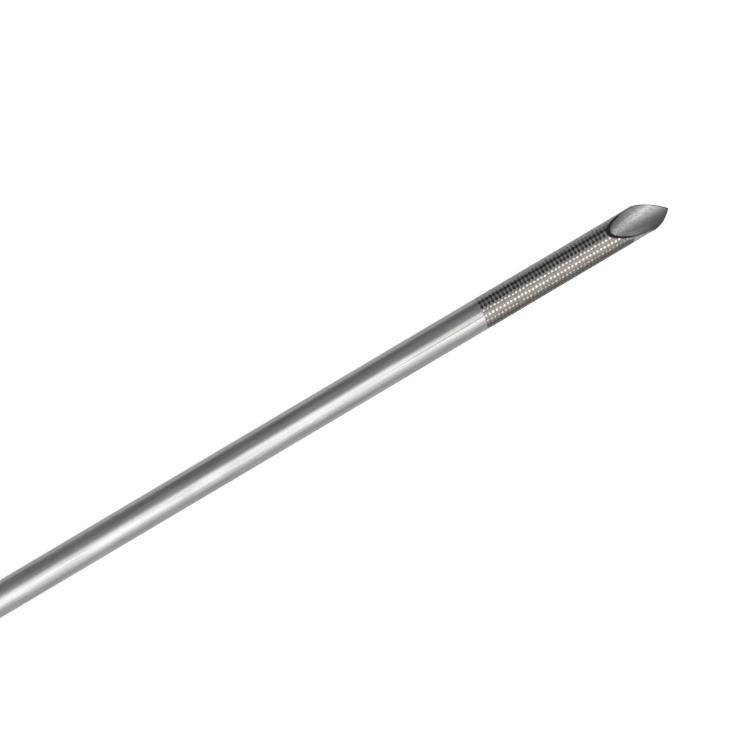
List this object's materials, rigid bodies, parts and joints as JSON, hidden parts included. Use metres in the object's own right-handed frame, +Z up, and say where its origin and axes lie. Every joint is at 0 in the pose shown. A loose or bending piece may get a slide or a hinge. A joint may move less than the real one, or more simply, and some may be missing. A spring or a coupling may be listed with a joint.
{
  "type": "echogenic needle",
  "caption": "Straight steel introducer needle with a lancet-ground open tip, a dimpled ultrasound band, a grip hub, a locking stylet and a sliding depth stop.",
  "frame": {"origin": "middle of the hub block's flat underside", "axes": "+X along the needle towards its tip, +Z up with the bevel facing up, the needle's axis 5.5 mm over the underside"},
  "size_m": [0.1372, 0.0102, 0.0154],
  "materials": {
    "tube_steel": "satin",
    "wire_steel": "polished",
    "screw_steel": "satin",
    "hub_plastic": "gloss",
    "insert_plastic": "gloss",
    "grip_plastic": "satin",
    "disc_plastic": "gloss",
    "stop_plastic": "satin",
    "soft_rubber": "matte",
    "adhesive": "gloss"
  },
  "bodies": {
    "needle": {"cannula": "tube_steel", "hub": "hub_plastic", "cannula_bond": "adhesive"},
    "stylet": {"stylet_rod": "wire_steel", "stylet_insert": "insert_plastic", "stylet_bond": "adhesive", "stylet_grip": "grip_plastic", "gauge_disc": "disc_plastic"},
    "lock_collar": {"lock_collar": "insert_plastic"},
    "depth_stop": {"stop_body": "stop_plastic", "stop_bush": "soft_rubber"},
    "stop_screw": {"stop_screw": "screw_steel"}
  },
  "joints": [
    {"name": "stylet_slide", "type": "slide", "parent": "needle", "child": "stylet", "axis": [-1, 0, 0], "range_m": [-0.012, 0.095]},
    {"name": "collar_turn", "type": "hinge", "parent": "stylet", "child": "lock_collar", "pos_m": [-0.0326, 0, 0.0055], "axis": [1, 0, 0], "continuous": true},
    {"name": "stop_slide", "type": "slide", "parent": "needle", "child": "depth_stop", "axis": [1, 0, 0], "range_m": [-0.004, 0.045]},
    {"name": "screw_turn", "type": "hinge", "parent": "depth_stop", "child": "stop_screw", "pos_m": [0.0276, 0, 0.012], "axis": [0, 0, 1], "range_deg": [-405, 720]}
  ]
}
